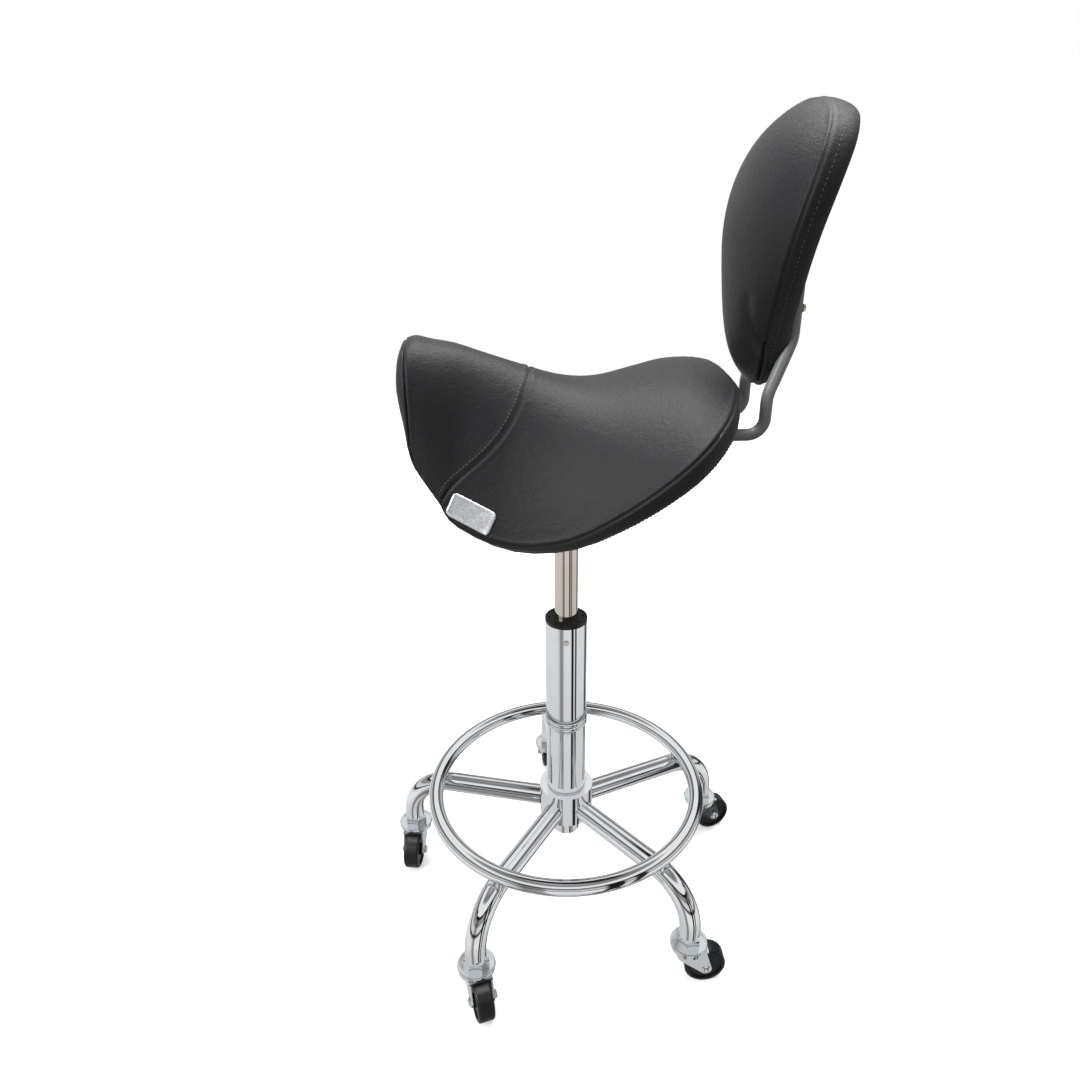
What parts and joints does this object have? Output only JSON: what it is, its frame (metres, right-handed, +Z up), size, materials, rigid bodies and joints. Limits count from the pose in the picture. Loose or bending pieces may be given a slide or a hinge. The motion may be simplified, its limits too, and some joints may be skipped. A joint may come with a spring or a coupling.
{
  "type": "rolling stylist stool",
  "caption": "Saddle seat with a low backrest on a gas lift, over a chromed tube base with a foot ring and swivel casters.",
  "frame": {"origin": "on the floor, on the column's axis, under the hub", "axes": "+Z up along the column; -Y towards the front of the seat, so the backrest is on the +Y side; +X to the sitter's left"},
  "size_m": [0.4856, 0.495, 0.972],
  "materials": {
    "chrome": "polished",
    "zinc": "bright zinc plated",
    "bright_steel": "bright",
    "wheel_black": "satin",
    "bush_black": "satin",
    "grip_black": "matt",
    "black_leatherette": "soft grained synthetic leather",
    "plywood": "raw",
    "black_steel": "satin black",
    "grey_steel": "satin grey",
    "bumper_rubber": "matt"
  },
  "bodies": {
    "base": {"hub": "chrome", "base_tube": "chrome", "bottom_cap": "chrome", "joint_ring": "chrome", "outer_tube": "chrome", "guide_bush": "bush_black", "set_screw": "bright_steel", "foot_ring": "chrome", "leg_1": "chrome", "leg_2": "chrome", "leg_3": "chrome", "leg_4": "chrome", "leg_5": "chrome", "leg_sockets": "zinc", "caster_1_stem": "zinc", "caster_2_stem": "zinc", "caster_3_stem": "zinc", "caster_4_stem": "zinc", "caster_5_stem": "zinc", "caster_1_race": "zinc", "caster_2_race": "zinc", "caster_3_race": "zinc", "caster_4_race": "zinc", "caster_5_race": "zinc"},
    "piston": {"piston_rod": "bright_steel", "thrust_bearing": "bright_steel", "rod_clip": "bright_steel", "bumper": "bumper_rubber"},
    "seat": {"lift_cylinder": "chrome", "mounting_plate": "black_steel", "plate_screws": "bright_steel", "seat_board": "plywood", "seat_cushion": "black_leatherette", "lever_pin": "bright_steel", "backrest_tube_left": "grey_steel", "backrest_tube_right": "grey_steel", "tube_clamps": "black_steel", "clamp_screws": "bright_steel", "backrest_board": "plywood", "backrest_cushion": "black_leatherette", "backrest_screws": "bright_steel"},
    "lever": {"release_lever": "black_steel", "lever_grip": "grip_black"},
    "valve": {"release_pin": "bright_steel"},
    "caster_1": {"caster_1_fork": "zinc", "caster_1_axle": "zinc"},
    "wheel_1": {"caster_1_wheel": "wheel_black"},
    "caster_2": {"caster_2_fork": "zinc", "caster_2_axle": "zinc"},
    "wheel_2": {"caster_2_wheel": "wheel_black"},
    "caster_3": {"caster_3_fork": "zinc", "caster_3_axle": "zinc"},
    "wheel_3": {"caster_3_wheel": "wheel_black"},
    "caster_4": {"caster_4_fork": "zinc", "caster_4_axle": "zinc"},
    "wheel_4": {"caster_4_wheel": "wheel_black"},
    "caster_5": {"caster_5_fork": "zinc", "caster_5_axle": "zinc"},
    "wheel_5": {"caster_5_wheel": "wheel_black"}
  },
  "joints": [
    {"name": "seat_swivel", "type": "hinge", "parent": "base", "child": "piston", "pos_m": [0, 0, 0.13], "axis": [0, 0, 1], "continuous": true},
    {"name": "seat_height", "type": "slide", "parent": "piston", "child": "seat", "axis": [0, 0, 1], "range_m": [-0.07, 0.07]},
    {"name": "release_lever", "type": "hinge", "parent": "seat", "child": "lever", "pos_m": [-0.02119, 0.01127, 0.647], "axis": [0.4695, 0.8829, 0], "range_deg": [0, 5], "stiffness_Nm_per_rad": 2, "springref_deg": -5.73},
    {"name": "valve_press", "type": "slide", "parent": "seat", "child": "valve", "axis": [0, 0, 1], "range_m": [-0.0025, 0]},
    {"name": "caster_1_swivel", "type": "hinge", "parent": "base", "child": "caster_1", "pos_m": [0.17021, 0.13298, 0.06], "axis": [0, 0, 1], "continuous": true},
    {"name": "wheel_1_spin", "type": "hinge", "parent": "caster_1", "child": "wheel_1", "pos_m": [0.17021, 0.15298, 0.025], "axis": [-1, 0, 0], "continuous": true},
    {"name": "caster_2_swivel", "type": "hinge", "parent": "base", "child": "caster_2", "pos_m": [-0.07388, 0.20297, 0.06], "axis": [0, 0, 1], "continuous": true},
    {"name": "wheel_2_spin", "type": "hinge", "parent": "caster_2", "child": "wheel_2", "pos_m": [-0.07905, 0.22229, 0.025], "axis": [-0.9659, -0.2588, 0], "continuous": true},
    {"name": "caster_3_swivel", "type": "hinge", "parent": "base", "child": "caster_3", "pos_m": [-0.21587, -0.00754, 0.06], "axis": [0, 0, 1], "continuous": true},
    {"name": "wheel_3_spin", "type": "hinge", "parent": "caster_3", "child": "wheel_3", "pos_m": [-0.23586, -0.00824, 0.025], "axis": [0.0349, -0.9994, 0], "continuous": true},
    {"name": "caster_4_swivel", "type": "hinge", "parent": "base", "child": "caster_4", "pos_m": [-0.05954, -0.20763, 0.06], "axis": [0, 0, 1], "continuous": true},
    {"name": "wheel_4_spin", "type": "hinge", "parent": "caster_4", "child": "wheel_4", "pos_m": [-0.03978, -0.21076, 0.025], "axis": [0.1564, 0.9877, 0], "continuous": true},
    {"name": "caster_5_swivel", "type": "hinge", "parent": "base", "child": "caster_5", "pos_m": [0.17907, -0.12079, 0.06], "axis": [0, 0, 1], "continuous": true},
    {"name": "wheel_5_spin", "type": "hinge", "parent": "caster_5", "child": "wheel_5", "pos_m": [0.19839, -0.11561, 0.025], "axis": [-0.2588, 0.9659, 0], "continuous": true}
  ],
  "couplings": [
    {"joint": "valve_press", "follows": "release_lever", "m_per_rad": -0.026}
  ]
}
